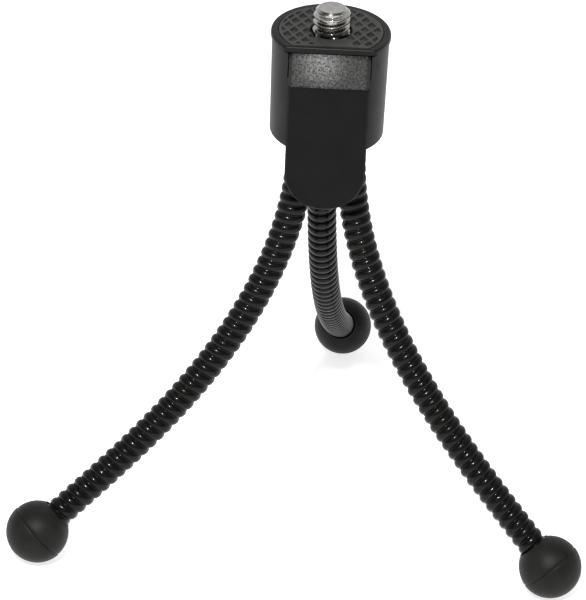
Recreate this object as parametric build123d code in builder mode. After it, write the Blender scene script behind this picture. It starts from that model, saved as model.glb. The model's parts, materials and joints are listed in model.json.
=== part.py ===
from build123d import *
import os
from math import acos, asin, atan2, cos, hypot, pi, radians, sin, tan

# Mini tripod for a small camera: a D-shaped quick-release head on three gooseneck legs
# with ball feet. Millimetres, +Z up. The origin is on the floor under the head's axis,
# +X is to the right of somebody who faces the lever, and the lever is on the -Y side.

os.makedirs("parts", exist_ok=True)

# ---- Driving dimensions: feet and legs ----
FOOT_RADIUS = 5.74
FOOT_PARTING_STEP = 0.08  # the upper half of the ball is this much smaller
LEG_CIRCLE_RADIUS = 5.0  # circle on which the three legs enter the head
LEG_TOP_Z = 84.0  # upper end of the winding, crimped in its ferrule
WINDING_RADIUS = 2.7  # over the round wire
FILLER_RADIUS = 2.3  # over the filler wire in the grooves
WINDING_BORE = 1.3
SECTION_LENGTH = 11.7  # from one bending centre to the next
SECTION_COUNT = 8
CRESTS_PER_SECTION = 6
CREST_HALF_WIDTH = 0.78
END_CONE = 11.0  # degrees: half of the sharpest turn between two sections
END_GAP = 0.05

# name: (azimuth of the socket, heading of the leg, shape of its curve, distance from
# the last section's end to the ball's centre). Angles are in degrees from +X.
LEGS = {
    "left": (-146.0, -157.0, 1.63, 3.2),
    "right": (-26.0, -30.6, 1.75, 1.2),
    "rear": (94.0, 82.7, 1.3, 3.2),
}

# ---- Driving dimensions: head ----
BODY_BOTTOM_Z = 80.0
BODY_TOP_Z = 98.3
BODY_BOTTOM_RADIUS = 10.03
BODY_TOP_RADIUS = 10.2
BODY_FLAT_Y = -7.6
CAVITY_RADIUS = 8.4
CAVITY_FLAT_Y = -6.4
CAVITY_TOP_Z = 85.6
CARRIER_BOTTOM_Z = 80.3
CARRIER_TOP_Z = 85.5
CARRIER_CLEARANCE = 0.05

PLATE_BOTTOM_Z = 98.5
PLATE_TOP_Z = 99.5
PLATE_RADIUS = 10.42
PLATE_FLAT_Y = -6.95
PLATE_CORNER = 1.0
PLATE_EDGE = 0.4
PAD_FLOOR_Z = 98.9
PAD_TOP_Z = 99.6
PAD_RADIUS = 9.2
PAD_FLAT_Y = -6.4
PAD_GAP = 0.08
SPIGOT_RADIUS = 3.9
SPIGOT_CENTRE_Y = 1.2
SPIGOT_FLAT_Y = -2.1
SPIGOT_BOTTOM_Z = 91.5
SOCKET_BOTTOM_Z = 90.2
SLIDE_CLEARANCE = 0.05

STUD_RADIUS = 3.175  # 1/4 inch camera thread
STUD_TOP_Z = 103.9
STUD_TIP_RADIUS = 2.15
COLLAR_CORNER_RADIUS = 3.67
COLLAR_BOTTOM_Z = 98.6
COLLAR_TOP_Z = 99.4
RELIEF_RADIUS = 2.45  # the neck between the collar and the thread
THREAD_START_Z = 99.8
COLLAR_HOLE_RADIUS = 3.75
COLLAR_TURN = 102.0  # degrees: one corner points at the lever, slightly to the right
SHANK_RADIUS = 1.4
WASHER_RADIUS = 2.05
WASHER_THICKNESS = 0.5
RIVET_RADIUS = 1.9
RIVET_HEIGHT = 0.4

# ---- Driving dimensions: release lever ----
PIVOT_Y, PIVOT_Z = -5.6, 96.0
LEVER_HALF_WIDTH = 7.0
LEVER_FRONT_Y = -10.8
LEVER_THICKNESS = 1.9
RIDGE_Z = 93.75
TONGUE_ROUND_Z = 76.7  # centre of the tongue's full round end
TONGUE_BEVEL = 0.3
HEEL_Z = 93.9
HEEL_INNER = (-7.6, 94.9)  # underside of the arm, where it meets the barrel
BARREL_RADIUS = 2.4
CAM_HALF_WIDTH = 3.2
CAM_RADIUS = 2.3
CAM_THROW = 0.35
CAM_ANGLE = -65.0  # degrees from +Y towards +Z, with the lever closed
PIN_RADIUS = 0.5
PIN_BORE_RADIUS = 0.55
PIN_LEFT_X, PIN_RIGHT_X = -7.95, 8.2
POCKET_HALF_WIDTH = 7.2
POCKET_RADIUS = 2.8
SHOE_BACK_Y = -3.1
SHOE_FRONT_Y = -2.15
SHOE_HALF_WIDTH = 3.0
SHOE_BOTTOM_Z, SHOE_TOP_Z = 94.4, 97.6

# ---- Driving dimensions: ferrules, plugs and screw ----
FERRULE_RADIUS = 3.05
FERRULE_FLANGE_RADIUS = 3.25
FERRULE_FLANGE_Z = 84.6
FERRULE_TOP_Z = 85.4
FERRULE_BORE_RADIUS = 2.72
RUNNING_CLEARANCE = 0.05
SCREW_HEAD_RADIUS = 1.5
SCREW_HEAD_BOTTOM_Z = 80.5
SCREW_HEAD_TOP_Z = 81.6
SCREW_RADIUS = 0.9
SCREW_TOP_Z = 89.2
SCREW_RECESS_LENGTH, SCREW_RECESS_WIDTH, SCREW_RECESS_DEPTH = 1.95, 0.36, 0.55
FOOT_BORE_RADIUS = 2.76
PLUG_FLANGE_RADIUS = 2.6
PLUG_FLANGE_THICKNESS = 0.8
PLUG_STEM_RADIUS = 1.25
PLUG_STEM_LENGTH = 3.0


def save(builder, name):
    """Labels a finished piece and writes it under its own name."""
    builder.part.label = name
    export_step(builder.part, f"parts/{name}.step")


def d_shape(radius, flat_y, corner=0.0):
    """A circle cut off by a flat on its -Y side, with its two corners rounded."""
    with BuildSketch(mode=Mode.PRIVATE) as outline:
        Circle(radius)
        with Locations((0, flat_y - radius)):
            Rectangle(2 * radius, 2 * radius, mode=Mode.SUBTRACT)
        if corner:
            fillet(outline.vertices(), corner)
    return outline.sketch


def level(z):
    """The horizontal plane at a height."""
    return Plane.XY.offset(z)


# ---- The path of a leg ----
def leans(shape, final_lean):
    """Each section's angle from the vertical. The first one stands upright."""
    last = SECTION_COUNT - 1
    return [radians(final_lean) * (1 - (1 - i / last) ** shape) for i in range(SECTION_COUNT)]


def drop(shape, final_lean, tail):
    """Height between a leg's upper end and its ball's centre."""
    angles = leans(shape, final_lean)
    return SECTION_LENGTH * sum(cos(a) for a in angles) + tail * cos(angles[-1])


def standing_lean(shape, tail):
    """The final lean at which the ball rests on the floor."""
    low, high = 0.0, 90.0
    for _ in range(60):
        middle = (low + high) / 2
        if LEG_TOP_Z - drop(shape, middle, tail) < FOOT_RADIUS:
            low = middle
        else:
            high = middle
    return low


def section_planes(socket, heading, shape, tail):
    """One plane per section, at its upper end: x across the leg on its outer side,
    y along the leg and z along the bending axis. The last plane is the ball's."""
    out = Vector(cos(radians(heading)), sin(radians(heading)), 0)
    across = Vector(-out.Y, out.X, 0)
    up = Vector(0, 0, 1)
    angles = leans(shape, standing_lean(shape, tail))
    point = Vector(
        LEG_CIRCLE_RADIUS * cos(radians(socket)),
        LEG_CIRCLE_RADIUS * sin(radians(socket)),
        LEG_TOP_Z,
    )
    planes = []
    for angle in angles:
        side = out * cos(angle) + up * sin(angle)
        along = out * sin(angle) - up * cos(angle)
        planes.append(Plane(origin=point, x_dir=side, z_dir=across))
        point = point + along * SECTION_LENGTH
    planes.append(Plane(origin=point + along * tail, x_dir=side, z_dir=across))
    return planes


def long_axis(plane):
    """The line along the leg through a section's upper end."""
    return Axis(plane.origin, plane.y_dir)


# ---- Legs: winding sections, end plugs, ball feet and ferrules ----
def make_section(name, plane):
    """A length of the winding: round wire crests over a filler, with conical ends."""
    pitch = SECTION_LENGTH / CRESTS_PER_SECTION
    cone_rise = WINDING_RADIUS * tan(radians(END_CONE))
    with BuildPart() as section:
        with BuildSketch(plane):
            with BuildLine():
                last = (FILLER_RADIUS, 0)
                Line((WINDING_BORE, 0), last)
                for i in range(CRESTS_PER_SECTION):
                    middle = (i + 0.5) * pitch
                    start = (FILLER_RADIUS, middle - CREST_HALF_WIDTH)
                    end = (FILLER_RADIUS, middle + CREST_HALF_WIDTH)
                    Line(last, start)
                    ThreePointArc(start, (WINDING_RADIUS, middle), end)
                    last = end
                Polyline(
                    last,
                    (FILLER_RADIUS, SECTION_LENGTH),
                    (WINDING_BORE, SECTION_LENGTH),
                    (WINDING_BORE, 0),
                )
            make_face()
            for end, inward in ((0, 1), (SECTION_LENGTH, -1)):
                with BuildLine():
                    Polyline(
                        (0, end),
                        (0, end + inward * END_GAP),
                        (WINDING_RADIUS, end + inward * (END_GAP + cone_rise)),
                        (WINDING_RADIUS, end),
                        close=True,
                    )
                make_face(mode=Mode.SUBTRACT)
        revolve(axis=long_axis(plane))
    save(section, name)


def make_plug(name, plane, start):
    """The stepped plug that closes the winding's lower end inside the ball."""
    flange_start = start + END_GAP
    flange_end = flange_start + PLUG_FLANGE_THICKNESS
    with BuildPart() as plug:
        with BuildSketch(plane):
            with BuildLine():
                Polyline(
                    (0, flange_start - PLUG_STEM_LENGTH),
                    (PLUG_STEM_RADIUS, flange_start - PLUG_STEM_LENGTH),
                    (PLUG_STEM_RADIUS, flange_start),
                    (PLUG_FLANGE_RADIUS, flange_start),
                    (PLUG_FLANGE_RADIUS, flange_end),
                    (0, flange_end),
                    close=True,
                )
            make_face()
        revolve(axis=long_axis(plane))
    save(plug, name)
    return flange_end


def make_foot(name, plane, bore_end):
    """The ball foot, with a blind bore for the leg and a step at its parting line."""
    upper = FOOT_RADIUS - FOOT_PARTING_STEP
    mouth = (upper**2 - FOOT_BORE_RADIUS**2) ** 0.5
    middle = 0.5 * (pi / 2 + acos(mouth / upper))
    with BuildPart() as foot:
        with BuildSketch(plane):
            with BuildLine():
                ThreePointArc(
                    (0, FOOT_RADIUS),
                    (FOOT_RADIUS * sin(pi / 4), FOOT_RADIUS * cos(pi / 4)),
                    (FOOT_RADIUS, 0),
                )
                Line((FOOT_RADIUS, 0), (upper, 0))
                ThreePointArc(
                    (upper, 0),
                    (upper * sin(middle), -upper * cos(middle)),
                    (FOOT_BORE_RADIUS, -mouth),
                )
                Polyline(
                    (FOOT_BORE_RADIUS, -mouth),
                    (FOOT_BORE_RADIUS, bore_end),
                    (0, bore_end),
                    (0, FOOT_RADIUS),
                )
            make_face()
        revolve(axis=long_axis(plane))
    save(foot, name)


def make_ferrule(name, top):
    """The flanged cup that holds a leg in the carrier and lets it turn."""
    with BuildPart() as ferrule:
        with BuildSketch(Plane(origin=(top.X, top.Y, 0), x_dir=(1, 0, 0), z_dir=(0, -1, 0))):
            with BuildLine():
                Polyline(
                    (FERRULE_BORE_RADIUS, CARRIER_BOTTOM_Z),
                    (FERRULE_RADIUS, CARRIER_BOTTOM_Z),
                    (FERRULE_RADIUS, FERRULE_FLANGE_Z),
                    (FERRULE_FLANGE_RADIUS, FERRULE_FLANGE_Z),
                    (FERRULE_FLANGE_RADIUS, FERRULE_TOP_Z),
                    (WINDING_BORE, FERRULE_TOP_Z),
                    (WINDING_BORE, LEG_TOP_Z),
                    (FERRULE_BORE_RADIUS, LEG_TOP_Z),
                    close=True,
                )
            make_face()
        revolve(axis=Axis((top.X, top.Y, 0), (0, 0, 1)))
    save(ferrule, name)


for leg, (socket, heading, shape, tail) in LEGS.items():
    *planes, ball = section_planes(socket, heading, shape, tail)
    make_ferrule(f"{leg}_ferrule", planes[0].origin)
    for number, plane in enumerate(planes, start=1):
        make_section(f"{leg}_leg_{number}", plane)
    plug_end = make_plug(f"{leg}_end_plug", ball, -tail)
    make_foot(f"{leg}_ball_foot", ball, plug_end)

# ---- Leg carrier: the disc that closes the head and holds the ferrules ----
socket_places = [
    (LEG_CIRCLE_RADIUS * cos(radians(leg[0])), LEG_CIRCLE_RADIUS * sin(radians(leg[0])))
    for leg in LEGS.values()
]
carrier_outline = d_shape(
    CAVITY_RADIUS - CARRIER_CLEARANCE, CAVITY_FLAT_Y + CARRIER_CLEARANCE
)
with BuildPart() as leg_carrier:
    with BuildSketch(level(CARRIER_BOTTOM_Z)):
        add(carrier_outline)
        with Locations(*socket_places):
            Circle(FERRULE_RADIUS + RUNNING_CLEARANCE, mode=Mode.SUBTRACT)
        Circle(SCREW_RADIUS + CARRIER_CLEARANCE, mode=Mode.SUBTRACT)
    extrude(amount=CARRIER_TOP_Z - CARRIER_BOTTOM_Z)
    with BuildSketch(level(FERRULE_FLANGE_Z - RUNNING_CLEARANCE)):
        with Locations(*socket_places):
            Circle(FERRULE_FLANGE_RADIUS + RUNNING_CLEARANCE)
    extrude(amount=CARRIER_TOP_Z, mode=Mode.SUBTRACT)
    with BuildSketch(level(SCREW_HEAD_TOP_Z)):
        Circle(SCREW_HEAD_RADIUS + CARRIER_CLEARANCE)
    extrude(amount=CARRIER_BOTTOM_Z - SCREW_HEAD_TOP_Z, mode=Mode.SUBTRACT)
save(leg_carrier, "leg_carrier")

with BuildPart() as carrier_screw:
    with BuildSketch(level(SCREW_HEAD_BOTTOM_Z)):
        Circle(SCREW_HEAD_RADIUS)
    extrude(amount=SCREW_HEAD_TOP_Z - SCREW_HEAD_BOTTOM_Z)
    with BuildSketch(level(SCREW_HEAD_TOP_Z)):
        Circle(SCREW_RADIUS)
    extrude(amount=SCREW_TOP_Z - SCREW_HEAD_TOP_Z)
    with BuildSketch(level(SCREW_HEAD_BOTTOM_Z)):
        for turn in (0, 90):
            Rectangle(SCREW_RECESS_LENGTH, SCREW_RECESS_WIDTH, rotation=turn)
    extrude(amount=SCREW_RECESS_DEPTH, mode=Mode.SUBTRACT)
save(carrier_screw, "carrier_screw")

# ---- Head body ----
body_height = BODY_TOP_Z - BODY_BOTTOM_Z
with BuildPart() as head_body:
    with Locations((0, 0, BODY_BOTTOM_Z + body_height / 2)):
        Cone(BODY_BOTTOM_RADIUS, BODY_TOP_RADIUS, body_height)
    fillet(head_body.edges().sort_by(Axis.Z)[0], PLATE_EDGE)
    with BuildSketch(level(BODY_BOTTOM_Z)):
        with Locations((0, BODY_FLAT_Y - BODY_TOP_RADIUS)):
            Rectangle(2 * BODY_TOP_RADIUS, 2 * BODY_TOP_RADIUS)
    extrude(amount=body_height, mode=Mode.SUBTRACT)
    # cavity for the leg carrier, and the blind hole of its screw
    with BuildSketch(level(BODY_BOTTOM_Z)):
        add(d_shape(CAVITY_RADIUS, CAVITY_FLAT_Y))
    extrude(amount=CAVITY_TOP_Z - BODY_BOTTOM_Z, mode=Mode.SUBTRACT)
    with BuildSketch(level(CAVITY_TOP_Z)):
        Circle(SCREW_RADIUS)
    extrude(amount=SCREW_TOP_Z - CAVITY_TOP_Z, mode=Mode.SUBTRACT)
    # socket of the top plate's spigot
    with BuildSketch(level(SOCKET_BOTTOM_Z)):
        with Locations((0, SPIGOT_CENTRE_Y)):
            add(
                d_shape(
                    SPIGOT_RADIUS + SLIDE_CLEARANCE,
                    SPIGOT_FLAT_Y - SPIGOT_CENTRE_Y - SLIDE_CLEARANCE,
                )
            )
    extrude(amount=BODY_TOP_Z - SOCKET_BOTTOM_Z, mode=Mode.SUBTRACT)
    # pocket in which the lever's barrel and arm swing
    front_wall_z = PIVOT_Z - (POCKET_RADIUS**2 - (PIVOT_Y - BODY_FLAT_Y) ** 2) ** 0.5
    with BuildSketch(Plane.YZ):
        with Locations((PIVOT_Y, PIVOT_Z)):
            Circle(POCKET_RADIUS)
        with Locations((PIVOT_Y, front_wall_z)):
            Rectangle(
                BODY_TOP_RADIUS, BODY_TOP_RADIUS, align=(Align.MAX, Align.MIN)
            )
    extrude(amount=POCKET_HALF_WIDTH, both=True, mode=Mode.SUBTRACT)
    # window of the clamp shoe, and the hinge pin's holes: blind left, through right
    with BuildSketch(Plane.YZ):
        with Locations(((PIVOT_Y + SPIGOT_FLAT_Y) / 2, (SHOE_BOTTOM_Z + SHOE_TOP_Z) / 2)):
            Rectangle(
                SPIGOT_FLAT_Y - PIVOT_Y,
                SHOE_TOP_Z - SHOE_BOTTOM_Z + 2 * SLIDE_CLEARANCE,
            )
    extrude(amount=SHOE_HALF_WIDTH + SLIDE_CLEARANCE, both=True, mode=Mode.SUBTRACT)
    with BuildSketch(Plane.YZ.offset(PIN_LEFT_X)):
        with Locations((PIVOT_Y, PIVOT_Z)):
            Circle(PIN_RADIUS)
    extrude(amount=BODY_TOP_RADIUS - PIN_LEFT_X, mode=Mode.SUBTRACT)
save(head_body, "head_body")

# ---- Top plate, rubber pad and camera stud: the quick-release plate ----
with BuildPart() as top_plate:
    with BuildSketch(level(PLATE_BOTTOM_Z)):
        add(d_shape(PLATE_RADIUS, PLATE_FLAT_Y, PLATE_CORNER))
    extrude(amount=PLATE_TOP_Z - PLATE_BOTTOM_Z)
    fillet(top_plate.edges().group_by(Axis.Z)[-1], PLATE_EDGE)
    with BuildSketch(level(PAD_FLOOR_Z)):
        add(d_shape(PAD_RADIUS, PAD_FLAT_Y, PLATE_CORNER))
    extrude(amount=PLATE_TOP_Z - PAD_FLOOR_Z, mode=Mode.SUBTRACT)
    with BuildSketch(level(SPIGOT_BOTTOM_Z)):
        with Locations((0, SPIGOT_CENTRE_Y)):
            add(d_shape(SPIGOT_RADIUS, SPIGOT_FLAT_Y - SPIGOT_CENTRE_Y))
    extrude(amount=PLATE_BOTTOM_Z - SPIGOT_BOTTOM_Z)
    with BuildSketch(level(COLLAR_BOTTOM_Z)):
        RegularPolygon(COLLAR_CORNER_RADIUS, 6, rotation=COLLAR_TURN)
    extrude(amount=PLATE_TOP_Z - COLLAR_BOTTOM_Z, mode=Mode.SUBTRACT)
    with BuildSketch(level(SPIGOT_BOTTOM_Z)):
        Circle(SHANK_RADIUS)
    extrude(amount=PLATE_TOP_Z - SPIGOT_BOTTOM_Z, mode=Mode.SUBTRACT)
save(top_plate, "top_plate")

with BuildPart() as rubber_pad:
    with BuildSketch(level(PAD_FLOOR_Z)):
        add(d_shape(PAD_RADIUS - PAD_GAP, PAD_FLAT_Y + PAD_GAP, PLATE_CORNER - PAD_GAP))
        Circle(COLLAR_HOLE_RADIUS, mode=Mode.SUBTRACT)
    extrude(amount=PAD_TOP_Z - PAD_FLOOR_Z)
save(rubber_pad, "rubber_pad")

washer_bottom_z = SPIGOT_BOTTOM_Z - WASHER_THICKNESS
rivet_bottom_z = washer_bottom_z - RIVET_HEIGHT
with BuildPart() as camera_stud:
    with BuildSketch(level(COLLAR_BOTTOM_Z)):
        RegularPolygon(COLLAR_CORNER_RADIUS, 6, rotation=COLLAR_TURN)
    extrude(amount=COLLAR_TOP_Z - COLLAR_BOTTOM_Z)
    with BuildSketch(level(COLLAR_TOP_Z)):
        Circle(RELIEF_RADIUS)
    extrude(amount=THREAD_START_Z - COLLAR_TOP_Z)
    with BuildSketch(level(THREAD_START_Z)):
        Circle(STUD_RADIUS)
    extrude(amount=STUD_TOP_Z - THREAD_START_Z)
    tip = camera_stud.edges().sort_by(Axis.Z)[-1]
    chamfer(tip, STUD_RADIUS - STUD_TIP_RADIUS)
    with BuildSketch(level(rivet_bottom_z)):
        Circle(SHANK_RADIUS)
    extrude(amount=COLLAR_BOTTOM_Z - rivet_bottom_z)
    with BuildSketch(level(rivet_bottom_z)):
        Circle(RIVET_RADIUS)
    extrude(amount=RIVET_HEIGHT)
save(camera_stud, "camera_stud")

with BuildPart() as stud_washer:
    with BuildSketch(level(washer_bottom_z)):
        Circle(WASHER_RADIUS)
        Circle(SHANK_RADIUS, mode=Mode.SUBTRACT)
    extrude(amount=WASHER_THICKNESS)
save(stud_washer, "stud_washer")

# ---- Release lever with its eccentric cam ----
# The arm's sloping top runs from the ridge to where it touches the barrel's circle.
ridge_distance = hypot(PIVOT_Y - LEVER_FRONT_Y, PIVOT_Z - RIDGE_Z)
slope = atan2(PIVOT_Z - RIDGE_Z, PIVOT_Y - LEVER_FRONT_Y) + asin(BARREL_RADIUS / ridge_distance)
slope_length = (ridge_distance**2 - BARREL_RADIUS**2) ** 0.5
slope_top = (
    LEVER_FRONT_Y + slope_length * cos(slope),
    RIDGE_Z + slope_length * sin(slope),
)
tongue_bottom_z = TONGUE_ROUND_Z - LEVER_HALF_WIDTH
lever_back_y = LEVER_FRONT_Y + LEVER_THICKNESS
cam_centre = (
    PIVOT_Y + CAM_THROW * cos(radians(CAM_ANGLE)),
    PIVOT_Z + CAM_THROW * sin(radians(CAM_ANGLE)),
)
with BuildPart() as release_lever:
    with BuildSketch(Plane.YZ):
        with BuildLine():
            Polyline(
                (PIVOT_Y, PIVOT_Z),
                slope_top,
                (LEVER_FRONT_Y, RIDGE_Z),
                (LEVER_FRONT_Y, tongue_bottom_z),
                (lever_back_y, tongue_bottom_z),
                (lever_back_y, HEEL_Z),
                HEEL_INNER,
                close=True,
            )
        make_face()
    extrude(amount=LEVER_HALF_WIDTH, both=True)
    for start in (-LEVER_HALF_WIDTH, CAM_HALF_WIDTH):
        with BuildSketch(Plane.YZ.offset(start)):
            with Locations((PIVOT_Y, PIVOT_Z)):
                Circle(BARREL_RADIUS)
        extrude(amount=LEVER_HALF_WIDTH - CAM_HALF_WIDTH)
    with BuildSketch(Plane.YZ):
        with Locations(cam_centre):
            Circle(CAM_RADIUS)
    extrude(amount=CAM_HALF_WIDTH, both=True)
    with BuildSketch(Plane.XZ):
        with Locations((0, TONGUE_ROUND_Z)):
            Circle(LEVER_HALF_WIDTH)
            Rectangle(
                2 * LEVER_HALF_WIDTH,
                PLATE_TOP_Z - TONGUE_ROUND_Z,
                align=(Align.CENTER, Align.MIN),
            )
    extrude(amount=-2 * LEVER_FRONT_Y, both=True, mode=Mode.INTERSECT)
    chamfer(release_lever.faces().sort_by(Axis.Y)[0].edges(), TONGUE_BEVEL)
    with BuildSketch(Plane.YZ):
        with Locations((PIVOT_Y, PIVOT_Z)):
            Circle(PIN_BORE_RADIUS)
    extrude(amount=LEVER_HALF_WIDTH, both=True, mode=Mode.SUBTRACT)
save(release_lever, "release_lever")

with BuildPart() as hinge_pin:
    with BuildSketch(Plane.YZ.offset(PIN_LEFT_X)):
        with Locations((PIVOT_Y, PIVOT_Z)):
            Circle(PIN_RADIUS)
    extrude(amount=PIN_RIGHT_X - PIN_LEFT_X)
save(hinge_pin, "hinge_pin")

with BuildPart() as clamp_shoe:
    with Locations((0, (SHOE_BACK_Y + SHOE_FRONT_Y) / 2, (SHOE_BOTTOM_Z + SHOE_TOP_Z) / 2)):
        Box(2 * SHOE_HALF_WIDTH, SHOE_FRONT_Y - SHOE_BACK_Y, SHOE_TOP_Z - SHOE_BOTTOM_Z)
save(clamp_shoe, "clamp_shoe")
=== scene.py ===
import json
import math

import bmesh
import bpy
from mathutils import Matrix, Vector


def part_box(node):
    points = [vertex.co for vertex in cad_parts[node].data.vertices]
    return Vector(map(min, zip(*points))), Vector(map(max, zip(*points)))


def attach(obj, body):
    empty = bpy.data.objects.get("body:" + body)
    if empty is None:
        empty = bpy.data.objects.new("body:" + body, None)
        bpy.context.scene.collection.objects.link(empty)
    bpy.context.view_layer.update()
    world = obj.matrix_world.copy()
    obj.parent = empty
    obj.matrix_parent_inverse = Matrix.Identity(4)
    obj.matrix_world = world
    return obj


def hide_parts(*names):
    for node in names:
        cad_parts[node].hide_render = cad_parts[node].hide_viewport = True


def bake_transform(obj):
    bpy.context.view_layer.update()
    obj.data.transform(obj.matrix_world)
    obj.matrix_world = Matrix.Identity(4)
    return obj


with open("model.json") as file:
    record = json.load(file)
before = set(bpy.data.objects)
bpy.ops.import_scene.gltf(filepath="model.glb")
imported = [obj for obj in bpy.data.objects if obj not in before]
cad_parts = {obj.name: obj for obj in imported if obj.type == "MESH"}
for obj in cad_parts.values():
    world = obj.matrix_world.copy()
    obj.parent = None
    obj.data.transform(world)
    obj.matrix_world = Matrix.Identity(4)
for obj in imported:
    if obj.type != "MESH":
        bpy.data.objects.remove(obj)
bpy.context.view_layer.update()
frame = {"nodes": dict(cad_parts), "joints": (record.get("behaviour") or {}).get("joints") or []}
MM = 0.001
NODES = frame["nodes"]
JOINTS = {joint["name"]: joint for joint in frame["joints"]}
LEGS = ("left", "right", "rear")
SECTIONS = 8

# The winding of a leg: a round wire with a filler wire in its groove, in millimetres
TURNS_PER_SECTION = 6
STEPS_PER_TURN = 40
WIRE_RADIUS = 0.86
WIRE_HALF_WIDTH = 0.93
WIRE_FULLNESS = 0.75  # below 1, the wire's outline is fuller than an ellipse
WIRE_CENTRE = 1.84  # from the leg's line
WIRE_ANGLES = [-115, -92, -72, -54, -37, -22, -7, 7, 22, 37, 54, 72, 92, 115, 150, 180, 210]
FILLER_OUTLINE = [  # (distance from the leg's line, distance along it)
    (2.2, -0.2), (2.32, -0.13), (2.36, 0), (2.32, 0.13), (2.2, 0.2), (1.9, 0.1), (1.9, -0.1),
]

# The camera stud, in millimetres
THREAD_PITCH = 1.27
THREAD_RADIUS = 3.175
THREAD_DEPTH = 0.66
THREAD_STEPS = 120  # points round the stud
THREAD_RISE = 0.055  # from one ring of points to the next
CREST_Z = 101.1  # a crest's height on the stud's -X side
ROOT_SHARE = 0.3  # how far the root reaches from its middle, as a share of the way to a crest
FLANK_SHARE = 0.5
TIP_RADIUS = 2.3
NECK_RADIUS = 2.5
RUN_OUT_RISE = 0.3  # the neck's length above the collar
RUN_OUT_SLOPE = 2.2
STUD_DISH = [(2.15, 0.0), (1.95, -0.03), (0.9, -0.05), (0.0, -0.055)]  # (radius, dip) on top
COLLAR_BOTTOM = 98.6
COLLAR_TOP = 99.65
COLLAR_CORNER_RADIUS = 3.67
COLLAR_TURN = 102  # the direction of one corner, in degrees from +X
COLLAR_STEPS = 96
COLLAR_CUTS = [  # (radius at which the corners are cut off, height)
    (3.2, COLLAR_BOTTOM),
    (COLLAR_CORNER_RADIUS, COLLAR_BOTTOM + 0.14),
    (COLLAR_CORNER_RADIUS, COLLAR_TOP - 0.42),
    (3.22, COLLAR_TOP),
]
SHANK_RADIUS = 1.4

# The rubber pad, in millimetres
PAD_CORNER = 0.9
PAD_INSET = 0.08  # how much smaller the pad is than its CAD node, all round
DIAMOND = (2.2, 3.56)  # from one diamond to the next along X and Y
DIAMOND_PLACE = (-5.2, 1.06)
DIAMOND_TURN = -3.0  # degrees
DIAMOND_ROWS = 14  # on each side of the middle row
DIAMOND_COLUMNS = 7
SMALLEST_DIAMOND = 0.5  # square millimetres
RIB_WIDTH = 0.42
RIB_SLANT = 1.18  # a rib's width along X, in rib widths
BORDER = 0.42  # the plain rim round the diamonds
FRONT_BORDER = 0.5
RECESS_DEPTH = 0.45
RECESS_FLOOR = 0.8  # the size of a recess's floor, as a share of its mouth
COLLAR_HOLE = 3.75
PLAIN_REACH = 0.3  # from the hole to the middle of the nearest diamond
PLAIN_FRONT = (2.6, -3.2)  # no diamond within this X on each side and in front of this Y
EDGE_BEVEL = 0.07
CUT_OVERRUN = 0.2

# The grip on the lever's sloping top, in millimetres
RIDGE_Z = 93.75  # the slope's lower end, on the lever's front
PIVOT_Y, PIVOT_Z = -5.6, 96.0
BARREL_RADIUS = 2.4
GRIP_SIDE_GAP = 0.42
GRIP_PROUD = 0.05
GRIP_RIM = -0.03  # the rim lies just under the lever's surface
GRIP_BACK = -0.12
SLOPE_STEPS, BARREL_STEPS, GRIP_COLUMNS = 18, 12, 40
BARREL_WRAP = 15  # steps over the barrel that would reach its top

# The cap over the hinge pin, in millimetres
CAP_INSET = 0.07
CAP_PROFILE = [(0, -0.3), (0.62, -0.3), (0.62, -0.02), (0.56, 0.02), (0, 0.04)]

# The picture: metres, degrees and watts, apart from the camera's place and lens
FLOOR_REACH = 3
FLOOR_GREY = 0.6
FLOOR_GLOW = 0.78
WORLD_FRONT, WORLD_BACK = 0.14, 1.0
WORLD_TURNOVER = (-0.2, 0.75)  # the light grows between these shares of +Y
KEY_PLACE = (-0.10, -0.62, 0.85)
KEY_SIZE, KEY_POWER = 0.08, 15
HEAD_CENTRE = (0, 0, 0.09)
LENS_MM, SENSOR_MM = 191.07, 36
CAMERA_PITCH, CAMERA_ROLL = 32.09, 2.57
CAMERA_PLACE_MM = (-4.51, -491.08, 352.11)


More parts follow.
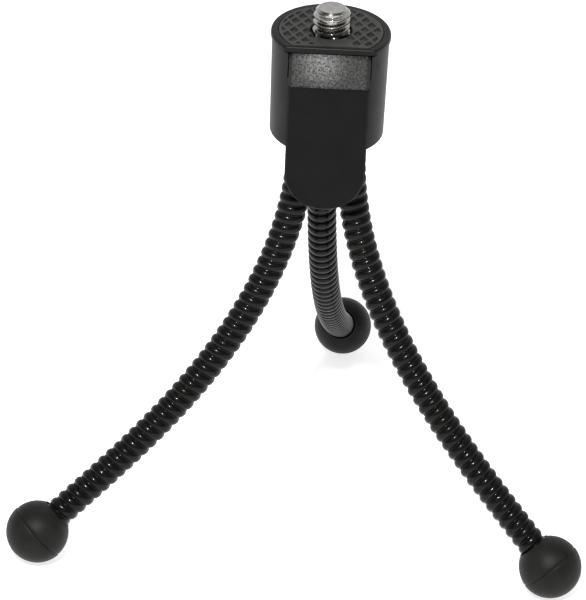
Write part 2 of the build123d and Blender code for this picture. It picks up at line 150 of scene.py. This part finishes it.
# ---- Materials ----
def finish_of(name, dark, light, roughness, *, specular=0.5, metallic=0.0, coat=0.0,
              coat_roughness=0.1, patch=3.0, grain=0.2, grain_depth=0.01, spread=0.06):
    """A procedural material: two colours in patches, and a grain that moves the roughness
    and the surface. Patch, grain and depth are in millimetres."""
    material = bpy.data.materials.new(name)
    material.use_nodes = True
    nodes, links = material.node_tree.nodes, material.node_tree.links
    shader = nodes["Principled BSDF"]
    shader.inputs["Metallic"].default_value = metallic
    shader.inputs["Specular IOR Level"].default_value = specular
    shader.inputs["Coat Weight"].default_value = coat
    shader.inputs["Coat Roughness"].default_value = coat_roughness
    place = nodes.new("ShaderNodeTexCoord")

    patches = nodes.new("ShaderNodeTexNoise")
    patches.inputs["Scale"].default_value = 1 / (patch * MM)
    patches.inputs["Detail"].default_value = 3
    links.new(place.outputs["Object"], patches.inputs["Vector"])
    colours = nodes.new("ShaderNodeValToRGB")
    colours.color_ramp.elements[0].position = 0.35
    colours.color_ramp.elements[0].color = (*dark, 1)
    colours.color_ramp.elements[1].position = 0.65
    colours.color_ramp.elements[1].color = (*light, 1)
    links.new(patches.outputs["Fac"], colours.inputs["Fac"])
    links.new(colours.outputs["Color"], shader.inputs["Base Color"])

    grains = nodes.new("ShaderNodeTexNoise")
    grains.inputs["Scale"].default_value = 1 / (grain * MM)
    grains.inputs["Detail"].default_value = 4
    links.new(place.outputs["Object"], grains.inputs["Vector"])
    rough = nodes.new("ShaderNodeMapRange")
    rough.inputs["To Min"].default_value = max(0.02, roughness - spread)
    rough.inputs["To Max"].default_value = min(1.0, roughness + spread)
    links.new(grains.outputs["Fac"], rough.inputs["Value"])
    links.new(rough.outputs["Result"], shader.inputs["Roughness"])

    bump = nodes.new("ShaderNodeBump")
    bump.inputs["Strength"].default_value = 1.0
    bump.inputs["Distance"].default_value = grain_depth * MM
    links.new(grains.outputs["Fac"], bump.inputs["Height"])
    links.new(bump.outputs["Normal"], shader.inputs["Normal"])
    return material


HEAD = finish_of("head_plastic", (0.005, 0.005, 0.0047), (0.008, 0.008, 0.0076), 0.42,
                 specular=0.11, patch=4, grain=0.12, grain_depth=0.004)
LEVER = finish_of("lever_plastic", (0.0035, 0.0035, 0.0035), (0.0045, 0.0045, 0.0045), 0.5,
                  specular=0.08, patch=5, grain=0.12, grain_depth=0.003)
# The grip's light grey grain is partly its own texture and partly a painted sheen of the lamp on
# the rough grip.
GRIP = finish_of("lever_grip", (0.03, 0.03, 0.028), (0.2, 0.198, 0.19), 0.42,
                 specular=0.08, patch=0.32, grain=0.24, grain_depth=0.08, spread=0.14)
PAD = finish_of("pad_rubber", (0.022, 0.022, 0.0205), (0.032, 0.032, 0.03), 0.6,
                specular=0.3, patch=2, grain=0.1, grain_depth=0.01)
FOOT = finish_of("foot_rubber", (0.007, 0.007, 0.0065), (0.011, 0.011, 0.010), 0.52,
                 specular=0.12, patch=3, grain=0.08, grain_depth=0.005)
WINDING = finish_of("winding_lacquer", (0.003, 0.003, 0.003), (0.0045, 0.0045, 0.004), 0.34,
                    specular=0.06, coat=0.18, coat_roughness=0.09, patch=1.5, grain=0.3,
                    grain_depth=0.004, spread=0.12)
NICKEL = finish_of("bright_nickel", (0.3, 0.293, 0.275), (0.37, 0.362, 0.342), 0.16,
                   metallic=1, patch=1.0, grain=0.15, grain_depth=0.004, spread=0.05)
STEEL = finish_of("steel", (0.4, 0.4, 0.4), (0.5, 0.5, 0.49), 0.3, metallic=1, patch=1,
                  grain=0.1, grain_depth=0.003)
BLACKENED = finish_of("blackened_steel", (0.008, 0.008, 0.008), (0.012, 0.012, 0.012), 0.4,
                      specular=0.3, patch=1, grain=0.1, grain_depth=0.003)
ALUMINIUM = finish_of("aluminium", (0.6, 0.6, 0.6), (0.7, 0.7, 0.7), 0.35, metallic=1,
                      patch=1, grain=0.1, grain_depth=0.003)
BRASS = finish_of("brass", (0.5, 0.36, 0.14), (0.62, 0.46, 0.2), 0.3, metallic=1, patch=1,
                  grain=0.1, grain_depth=0.003)


def paint_highlight_around(material, centre, reach, share_left):
    """Paints a highlight into a finish's base colour: full at a centre, and only a share
    of it from the reach outwards. Both are in millimetres."""
    nodes, links = material.node_tree.nodes, material.node_tree.links
    shader = nodes["Principled BSDF"]
    colour = shader.inputs["Base Color"].links[0].from_socket
    place = nodes.new("ShaderNodeTexCoord")
    away = nodes.new("ShaderNodeVectorMath")
    away.operation = "DISTANCE"
    away.inputs[1].default_value = [c * MM for c in centre]
    links.new(place.outputs["Object"], away.inputs[0])
    share = nodes.new("ShaderNodeMapRange")
    share.interpolation_type = "SMOOTHSTEP"
    share.inputs["From Max"].default_value = reach * MM
    share.inputs["To Min"].default_value = 1.0
    share.inputs["To Max"].default_value = share_left
    links.new(away.outputs["Value"], share.inputs["Value"])
    scaled = nodes.new("ShaderNodeVectorMath")
    scaled.operation = "SCALE"
    links.new(colour, scaled.inputs[0])
    links.new(share.outputs["Result"], scaled.inputs["Scale"])
    links.new(scaled.outputs["Vector"], shader.inputs["Base Color"])


# A painted highlight: the grip's base colour is full at its middle and dims outwards, for a glow
# the lamp alone didn't give
paint_highlight_around(GRIP, (-1.4, -7.8, 97.2), 5.5, 0.22)

CAD_FINISHES = {
    "head_body": HEAD,
    "leg_carrier": HEAD,
    "top_plate": HEAD,
    "release_lever": LEVER,
    "carrier_screw": STEEL,
    "hinge_pin": BLACKENED,
    "stud_washer": STEEL,
    "clamp_shoe": BRASS,
}
for leg in LEGS:
    CAD_FINISHES[f"{leg}_ferrule"] = ALUMINIUM
    CAD_FINISHES[f"{leg}_end_plug"] = ALUMINIUM
for name, material in CAD_FINISHES.items():
    NODES[name].data.materials.clear()
    NODES[name].data.materials.append(material)


# ---- Building blocks ----
def linked(name, data):
    """A new object with this mesh, lamp or camera, in the scene."""
    piece = bpy.data.objects.new(name, data)
    bpy.context.scene.collection.objects.link(piece)
    return piece


def new_piece(name, points, faces, material):
    """A smooth mesh object from points in metres."""
    mesh = bpy.data.meshes.new(name)
    mesh.from_pydata([tuple(p) for p in points], [], faces)
    mesh.validate()
    mesh.materials.append(material)
    for face in mesh.polygons:
        face.use_smooth = True
    return linked(name, mesh)


def sharpen(piece, degrees):
    """Shades the piece smooth, apart from edges that turn by more than this angle."""
    mesh = piece.data
    work = bmesh.new()
    work.from_mesh(mesh)
    bmesh.ops.recalc_face_normals(work, faces=work.faces)
    limit = math.radians(degrees)
    for edge in work.edges:
        edge.smooth = len(edge.link_faces) == 2 and edge.calc_face_angle(0) < limit
    for face in work.faces:
        face.smooth = True
    work.to_mesh(mesh)
    work.free()


def joined(low, high):
    """Faces between two rings of point numbers. Either may be a single point."""
    faces = []
    count = max(len(low), len(high))
    for i in range(count):
        j = (i + 1) % count
        corners = (
            low[i % len(low)], low[j % len(low)], high[j % len(high)], high[i % len(high)],
        )
        faces.append(tuple(dict.fromkeys(corners)))
    return faces


def lathe(name, profile, origin, along, material, steps=96):
    """Turns a profile of (radius, distance along) in millimetres about a line."""
    turn = Vector((0, 0, 1)).rotation_difference(along)
    points, rows = [], []
    for radius, height in profile:
        if radius < 1e-6:
            rows.append([len(points)])
            points.append(origin + turn @ Vector((0, 0, height * MM)))
            continue
        rows.append(list(range(len(points), len(points) + steps)))
        for i in range(steps):
            angle = 2 * math.pi * i / steps
            local = Vector((radius * math.cos(angle), radius * math.sin(angle), height))
            points.append(origin + turn @ (local * MM))
    faces = []
    for low, high in zip(rows, rows[1:]):
        faces += joined(low, high)
    return new_piece(name, points, faces, material)


def arc(radius, start, end, count, centre=(0.0, 0.0)):
    """Points (x, y) on an arc, from one angle in degrees to another."""
    points = []
    for i in range(count + 1):
        angle = math.radians(start + (end - start) * i / count)
        points.append((
            centre[0] + radius * math.cos(angle), centre[1] + radius * math.sin(angle),
        ))
    return points


def d_outline(radius, flat_y, corner):
    """The outline of a disc cut off by a flat on its -Y side, with rounded corners."""
    inner = radius - corner
    middle_y = flat_y + corner
    middle_x = math.sqrt(inner**2 - middle_y**2)
    meet = math.degrees(math.atan2(middle_y, middle_x))
    points = arc(radius, meet, 180 - meet, 96)
    points += arc(corner, 180 - meet, 270, 8, (-middle_x, middle_y))[1:]
    points += arc(corner, 270, 360 + meet, 8, (middle_x, middle_y))[:-1]
    return points


# ---- Legs ----
def leg_stations(leg):
    """The smooth line through a leg's joints. Gives its spans, each a function from 0..1 to
    (point, direction along the leg), the leg's bending axis, the points where one curved
    span meets the next, and the centre of the ball foot."""
    bends = [JOINTS[f"{leg}_bend_{k}"] for k in range(1, SECTIONS)]
    hinges = [Vector(joint["pos_m"]) for joint in bends]
    axis = Vector(bends[0]["axis"]).normalized()
    length = (hinges[1] - hinges[0]).length
    low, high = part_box(f"{leg}_ball_foot")
    ball = (low + high) / 2
    points = [hinges[0] + Vector((0, 0, length)), *hinges]
    points.append(hinges[-1] + (ball - hinges[-1]).normalized() * length)
    middles = [(a + b) / 2 for a, b in zip(points, points[1:])]

    def straight(start, end):
        return lambda share: (start.lerp(end, share), (end - start).normalized())

    def curved(start, corner, end):
        first, second = (corner - start).normalized(), (end - corner).normalized()
        turn = first.angle(second)
        if axis.dot(first.cross(second)) < 0:
            turn = -turn
        inward = axis.cross(first)
        centre = start + inward * ((corner - start).length / math.tan(turn / 2))

        def at(share):
            spin = Matrix.Rotation(turn * share, 3, axis)
            return centre + spin @ (start - centre), spin @ first

        return at

    spans = [straight(points[0], middles[0])]
    spans += [
        curved(middles[i], points[i + 1], middles[i + 1]) for i in range(SECTIONS - 1)
    ]
    spans.append(straight(middles[-1], points[-1]))
    return spans, axis, middles, ball


def wire_outline():
    """The round wire's outline: (distance from the leg's line, distance along it)."""
    outline = []
    for degrees in WIRE_ANGLES:
        angle = math.radians(degrees)
        height = WIRE_RADIUS * abs(math.cos(angle)) ** WIRE_FULLNESS
        height = math.copysign(height, math.cos(angle))
        outline.append((WIRE_CENTRE + height, WIRE_HALF_WIDTH * math.sin(angle)))
    return outline


def wound_span(name, at, axis, turns):
    """One span of the winding: the wire and, half a turn behind it, the filler. Its normals
    run on into the next span."""
    points, normals, faces = [], [], []
    steps = turns * STEPS_PER_TURN
    for outline, ahead in ((wire_outline(), math.pi), (FILLER_OUTLINE, 0)):
        first, count = len(points), len(outline)
        for step in range(steps + 1):
            place, along = at(step / steps)
            side = axis.cross(along)
            angle = ahead + 2 * math.pi * step / STEPS_PER_TURN
            radial = side * math.cos(angle) + axis * math.sin(angle)
            for i, (radius, shift) in enumerate(outline):
                points.append(place + (radial * radius + along * shift) * MM)
                before, after = outline[i - 1], outline[(i + 1) % count]
                outward = radial * (after[1] - before[1]) - along * (after[0] - before[0])
                normals.append(outward.normalized())
        for step in range(steps):
            row = first + step * count
            for i in range(count):
                j = (i + 1) % count
                faces.append((row + i, row + count + i, row + count + j, row + j))
        last = first + steps * count
        faces.append(tuple(range(first, first + count)))
        faces.append(tuple(reversed(range(last, last + count))))
    piece = new_piece(name, points, faces, WINDING)
    piece.data.normals_split_custom_set_from_vertices(normals)
    return piece


# A ball foot: (radius, distance from the ball's centre towards the leg), in millimetres.
# The lower half, the mould line's step, the smaller upper half, and the mouth round the leg.
FOOT_PROFILE = (
    [(0.0, -5.74)]
    + arc(5.74, -88, -3.5, 28)
    + [(5.735, -0.18), (5.70, -0.05), (5.6, 0.0), (5.55, 0.08), (5.6, 0.2)]
    + arc(5.66, 4.5, 56.5, 22)
    + [(3.05, 4.86), (2.94, 4.9), (2.84, 4.84), (2.8, 4.7), (2.8, 3.4), (2.76, 3.3), (0.0, 3.3)]
)

for leg in LEGS:
    spans, axis, middles, ball = leg_stations(leg)
    half = TURNS_PER_SECTION // 2
    top = wound_span(f"{leg}_winding_1", spans[0], axis, half)
    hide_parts(f"{leg}_leg_1")
    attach(top, f"{leg}_root")
    for k in range(1, SECTIONS):
        piece = wound_span(f"{leg}_winding_{k + 1}", spans[k], axis, TURNS_PER_SECTION)
        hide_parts(f"{leg}_leg_{k + 1}")
        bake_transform(piece)
    end = wound_span(f"{leg}_winding_{SECTIONS + 1}", spans[SECTIONS], axis, half)
    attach(end, f"{leg}_foot")

    foot = lathe(f"{leg}_foot_ball", FOOT_PROFILE, ball, middles[-1] - ball, FOOT)
    sharpen(foot, 40)
    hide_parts(f"{leg}_ball_foot")
    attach(foot, f"{leg}_foot")


# ---- Camera stud ----
def thread_radius(turn, height, top):
    """Radius of the rolled thread, at a share of a turn from +X and a height. Millimetres."""
    phase = ((height - CREST_Z) / THREAD_PITCH - (turn - 0.5)) % 1.0
    climb = abs(phase - 0.5) * 2  # 0 in the middle of the root, 1 on the crest
    share = min(1.0, max(0.0, (climb - ROOT_SHARE) / FLANK_SHARE))
    share = share * share * (3 - 2 * share) * 0.5 + share * 0.5
    radius = THREAD_RADIUS - THREAD_DEPTH * (1 - share)
    tip = TIP_RADIUS + (top - height)
    neck = NECK_RADIUS + max(0.0, height - COLLAR_TOP - RUN_OUT_RISE) * RUN_OUT_SLOPE
    return min(radius, tip, neck)


def collar_radii(cut):
    """Radii round the hexagonal collar, with its corners cut off by a circle."""
    flat = COLLAR_CORNER_RADIUS * math.cos(math.pi / 6)
    radii = []
    for i in range(COLLAR_STEPS):
        angle = 2 * math.pi * i / COLLAR_STEPS
        from_corner = (angle + math.pi / 6) % (math.pi / 3) - math.pi / 6
        radii.append(min(flat / math.cos(math.pi / 6 - abs(from_corner)), cut))
    return radii


def build_stud():
    """The threaded stud with its dished top and its collar, and the riveted shank below."""
    low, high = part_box("camera_stud")
    bottom, top = low.z / MM, high.z / MM
    points, faces = [], []

    def ring(radii, level, start=0.0):
        """Adds a ring of points at a level in millimetres, and gives their numbers."""
        first = len(points)
        for i, radius in enumerate(radii):
            angle = start + 2 * math.pi * i / len(radii)
            points.append(
                Vector((radius * math.cos(angle), radius * math.sin(angle), level)) * MM
            )
        return range(first, len(points))

    count = int((top - COLLAR_TOP) / THREAD_RISE)
    rings = []
    for level in [COLLAR_TOP + THREAD_RISE * i for i in range(count)] + [top]:
        radii = [thread_radius(i / THREAD_STEPS, level, top) for i in range(THREAD_STEPS)]
        rings.append(ring(radii, level))
    for radius, dip in STUD_DISH:
        rings.append(ring([radius] * (THREAD_STEPS if radius else 1), top + dip))
    for below, above in zip(rings, rings[1:]):
        faces += joined(below, above)
    faces.append(tuple(reversed(rings[0])))

    collar = [
        ring(collar_radii(cut), level, math.radians(COLLAR_TURN)) for cut, level in COLLAR_CUTS
    ]
    faces.append(tuple(reversed(collar[0])))
    for below, above in zip(collar, collar[1:]):
        faces += joined(below, above)
    faces.append(tuple(collar[-1]))
    stud = new_piece("stud", points, faces, NICKEL)
    sharpen(stud, 38)
    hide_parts("camera_stud")
    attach(stud, "plate")

    shank_profile = [
        (0, bottom), (1.55, bottom), (1.8, bottom + 0.08), (1.9, bottom + 0.22),
        (1.86, bottom + 0.4), (SHANK_RADIUS, bottom + 0.4), (SHANK_RADIUS, COLLAR_BOTTOM),
        (0, COLLAR_BOTTOM),
    ]
    shank = lathe("stud_shank", shank_profile, Vector((0, 0, 0)), Vector((0, 0, 1)), NICKEL, 48)
    sharpen(shank, 35)
    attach(shank, "plate")


build_stud()


# ---- Rubber pad with its diamond recesses ----
def prism(work, outline, bottom, top, inset=1.0):
    """Adds a closed prism to a bmesh. Its lower outline is drawn in by a factor."""
    centre = Vector((sum(p[0] for p in outline), sum(p[1] for p in outline))) / len(outline)
    rings = []
    for level, factor in ((bottom, inset), (top, 1.0)):
        rings.append([
            work.verts.new((
                (centre.x + (x - centre.x) * factor) * MM,
                (centre.y + (y - centre.y) * factor) * MM,
                level * MM,
            ))
            for x, y in outline
        ])
    low, high = rings
    work.faces.new(reversed(low))
    work.faces.new(high)
    for i in range(len(outline)):
        j = (i + 1) % len(outline)
        work.faces.new((low[i], low[j], high[j], high[i]))


def clip(polygon, outline):
    """The part of a convex polygon inside a convex outline that runs anticlockwise."""
    for a, b in zip(outline, outline[1:] + outline[:1]):
        def side(p):
            return (b[0] - a[0]) * (p[1] - a[1]) - (b[1] - a[1]) * (p[0] - a[0])

        kept = []
        for p, q in zip(polygon, polygon[1:] + polygon[:1]):
            sp, sq = side(p), side(q)
            if sp >= 0:
                kept.append(p)
            if sp * sq < 0:
                t = sp / (sp - sq)
                kept.append((p[0] + (q[0] - p[0]) * t, p[1] + (q[1] - p[1]) * t))
        polygon = kept
        if len(polygon) < 3:
            return []
    return polygon


def area(polygon):
    """The area inside a polygon that runs anticlockwise."""
    pairs = zip(polygon, polygon[1:] + polygon[:1])
    return sum(a[0] * b[1] - a[1] * b[0] for a, b in pairs) / 2


def mesh_of(name, work):
    """An object with the bmesh's shape. It frees the bmesh."""
    mesh = bpy.data.meshes.new(name)
    bmesh.ops.recalc_face_normals(work, faces=work.faces)
    work.to_mesh(mesh)
    work.free()
    return linked(name, mesh)


def carve(piece, tool):
    """Cuts the tool out of the piece, and removes the tool."""
    cut = piece.modifiers.new("cut", "BOOLEAN")
    cut.operation, cut.solver, cut.object = "DIFFERENCE", "EXACT", tool
    bpy.context.view_layer.update()
    graph = bpy.context.evaluated_depsgraph_get()
    result = bpy.data.meshes.new_from_object(piece.evaluated_get(graph))
    piece.modifiers.clear()
    piece.data = result
    bpy.data.objects.remove(tool)


def is_plain(place):
    """Whether the pad has no diamond at this place: round the collar and in front of it."""
    half_width, front_y = PLAIN_FRONT
    if abs(place.x) < half_width and place.y < front_y:
        return True
    return place.length < COLLAR_HOLE + PLAIN_REACH


def build_pad():
    """The pad: a D with a hole for the collar and a lattice of ribs between recesses."""
    low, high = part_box("rubber_pad")
    bottom, top = low.z / MM, high.z / MM
    radius, flat_y = high.x / MM - PAD_INSET, low.y / MM + PAD_INSET
    work = bmesh.new()
    prism(work, d_outline(radius, flat_y, PAD_CORNER), bottom, top)
    pad = mesh_of("rubber_top", work)
    work = bmesh.new()
    hole = arc(COLLAR_HOLE, 0, 360, 96)[:-1]
    prism(work, hole, bottom - CUT_OVERRUN, top + CUT_OVERRUN)
    carve(pad, mesh_of("hole", work))

    field = d_outline(radius - BORDER, flat_y + FRONT_BORDER, PAD_CORNER)
    half_x = (DIAMOND[0] - RIB_WIDTH * RIB_SLANT) / 2
    half_y = half_x * DIAMOND[1] / DIAMOND[0]
    corners = [Vector(c) for c in ((half_x, 0), (0, half_y), (-half_x, 0), (0, -half_y))]
    turn = Matrix.Rotation(math.radians(DIAMOND_TURN), 2)
    work = bmesh.new()
    for row in range(-DIAMOND_ROWS, DIAMOND_ROWS + 1):
        for column in range(-DIAMOND_COLUMNS, DIAMOND_COLUMNS + 1):
            centre = Vector(((column + row % 2 / 2) * DIAMOND[0], row * DIAMOND[1] / 2))
            centre = turn @ centre + Vector(DIAMOND_PLACE)
            if is_plain(centre):
                continue
            shape = clip([tuple(centre + turn @ c) for c in corners], field)
            if shape and area(shape) > SMALLEST_DIAMOND:
                prism(work, shape, top - RECESS_DEPTH, top + 0.06, RECESS_FLOOR)
    carve(pad, mesh_of("diamonds", work))
    bevel = pad.modifiers.new("edges", "BEVEL")
    bevel.width, bevel.segments, bevel.limit_method = EDGE_BEVEL * MM, 2, "ANGLE"
    bevel.angle_limit = math.radians(30)
    pad.data.materials.clear()
    pad.data.materials.append(PAD)
    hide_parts("rubber_pad")
    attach(pad, "plate")


build_pad()


# ---- Lever: the grained grip on its sloping top ----
def build_grip():
    """A thin skin up the lever's slope and on over its barrel."""
    low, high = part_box("release_lever")
    front_y = low.y / MM
    reach = math.hypot(PIVOT_Y - front_y, PIVOT_Z - RIDGE_Z)
    slope = math.atan2(PIVOT_Z - RIDGE_Z, PIVOT_Y - front_y) + math.asin(BARREL_RADIUS / reach)
    length = math.sqrt(reach**2 - BARREL_RADIUS**2)
    up = Vector((0, math.cos(slope), math.sin(slope)))
    out = Vector((0, -math.sin(slope), math.cos(slope)))
    line = []  # (point, normal), from the ridge to the barrel
    for i in range(SLOPE_STEPS + 1):
        distance = 0.1 + (length - 0.1) * i / SLOPE_STEPS
        line.append((Vector((0, front_y, RIDGE_Z)) + up * distance, out))
    for i in range(1, BARREL_STEPS + 1):
        turn = slope * (1 - i / BARREL_WRAP)
        normal = Vector((0, -math.sin(turn), math.cos(turn)))
        line.append((Vector((0, PIVOT_Y, PIVOT_Z)) + normal * BARREL_RADIUS, normal))
    half = high.x / MM - GRIP_SIDE_GAP
    rows, wide = len(line) - 1, GRIP_COLUMNS + 1
    points, faces = [], []
    for front in (True, False):
        for row, (place, normal) in enumerate(line):
            for column in range(wide):
                at_rim = row in (0, rows) or column in (0, GRIP_COLUMNS)
                lift = GRIP_BACK
                if front:
                    lift = GRIP_RIM if at_rim else GRIP_PROUD
                x = half * (2 * column / GRIP_COLUMNS - 1)
                points.append((place + normal * lift + Vector((x, 0, 0))) * MM)
    count = wide * (rows + 1)
    for row in range(rows):
        for column in range(GRIP_COLUMNS):
            a = row * wide + column
            top = (a, a + 1, a + wide + 1, a + wide)
            faces += [top, tuple(count + i for i in reversed(top))]
    rim = list(range(wide)) + [r * wide + GRIP_COLUMNS for r in range(1, rows + 1)]
    rim += [rows * wide + c for c in range(GRIP_COLUMNS - 1, -1, -1)]
    rim += [r * wide for r in range(rows - 1, 0, -1)]
    faces += [(b, a, count + a, count + b) for a, b in zip(rim, rim[1:] + rim[:1])]
    grip = new_piece("lever_grip", points, faces, GRIP)
    sharpen(grip, 60)
    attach(grip, "lever")


build_grip()


def build_pin_cap():
    """A flush cap over the outer end of the hinge pin, on the head's round side."""
    low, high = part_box("hinge_pin")
    place = (low + high) / 2
    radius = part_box("head_body")[1].x - CAP_INSET * MM
    place.x = math.sqrt(radius**2 - place.y**2)
    normal = Vector((place.x, place.y, 0)).normalized()
    cap = lathe("pin_cap", CAP_PROFILE, place, normal, HEAD, 32)
    sharpen(cap, 40)
    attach(cap, "head")


build_pin_cap()

# ---- Floor, light and camera ----
floor_material = bpy.data.materials.new("floor")
floor_material.use_nodes = True
floor_shader = floor_material.node_tree.nodes["Principled BSDF"]
floor_shader.inputs["Base Color"].default_value = (FLOOR_GREY, FLOOR_GREY, FLOOR_GREY, 1)
floor_shader.inputs["Roughness"].default_value = 0.9
floor_shader.inputs["Specular IOR Level"].default_value = 0.05
floor_shader.inputs["Emission Color"].default_value = (1, 1, 1, 1)
floor_shader.inputs["Emission Strength"].default_value = FLOOR_GLOW
floor_corners = [
    (x * FLOOR_REACH, y * FLOOR_REACH, 0) for x, y in ((-1, -1), (1, -1), (1, 1), (-1, 1))
]
new_piece("floor", floor_corners, [(0, 1, 2, 3)], floor_material)

# The surroundings are dim in front and overhead, and bright behind the tripod
world = bpy.data.worlds.new("studio")
bpy.context.scene.world = world
world.use_nodes = True
nodes, links = world.node_tree.nodes, world.node_tree.links
direction = nodes.new("ShaderNodeTexCoord")
split = nodes.new("ShaderNodeSeparateXYZ")
links.new(direction.outputs["Generated"], split.inputs["Vector"])
backward = nodes.new("ShaderNodeMapRange")
backward.interpolation_type = "SMOOTHSTEP"
backward.inputs["From Min"].default_value = WORLD_TURNOVER[0]
backward.inputs["From Max"].default_value = WORLD_TURNOVER[1]
backward.inputs["To Min"].default_value = WORLD_FRONT
backward.inputs["To Max"].default_value = WORLD_BACK
links.new(split.outputs["Y"], backward.inputs["Value"])
links.new(backward.outputs["Result"], nodes["Background"].inputs["Strength"])
nodes["Background"].inputs["Color"].default_value = (1, 1, 1, 1)

key = bpy.data.lights.new("key", "AREA")
key.shape, key.size, key.energy = "DISK", KEY_SIZE, KEY_POWER
lamp = linked("key", key)
lamp.location = KEY_PLACE
aim = Vector(HEAD_CENTRE) - Vector(KEY_PLACE)
lamp.rotation_euler = aim.to_track_quat("-Z", "Y").to_euler()

lens = bpy.data.cameras.new("camera")
lens.sensor_width, lens.lens = SENSOR_MM, LENS_MM
camera = linked("camera", lens)
pitch, roll = math.radians(CAMERA_PITCH), math.radians(CAMERA_ROLL)
right = Vector((1, 0, 0))
upward = Vector((0, math.sin(pitch), math.cos(pitch)))
forward = Vector((0, math.cos(pitch), -math.sin(pitch)))
turned_right = right * math.cos(roll) + upward * math.sin(roll)
turned_up = upward * math.cos(roll) - right * math.sin(roll)
placed = Matrix((turned_right, turned_up, -forward)).transposed().to_4x4()
placed.translation = Vector(CAMERA_PLACE_MM) * MM
camera.matrix_world = placed
bpy.context.scene.camera = camera
bpy.context.scene.view_settings.view_transform = "Standard"
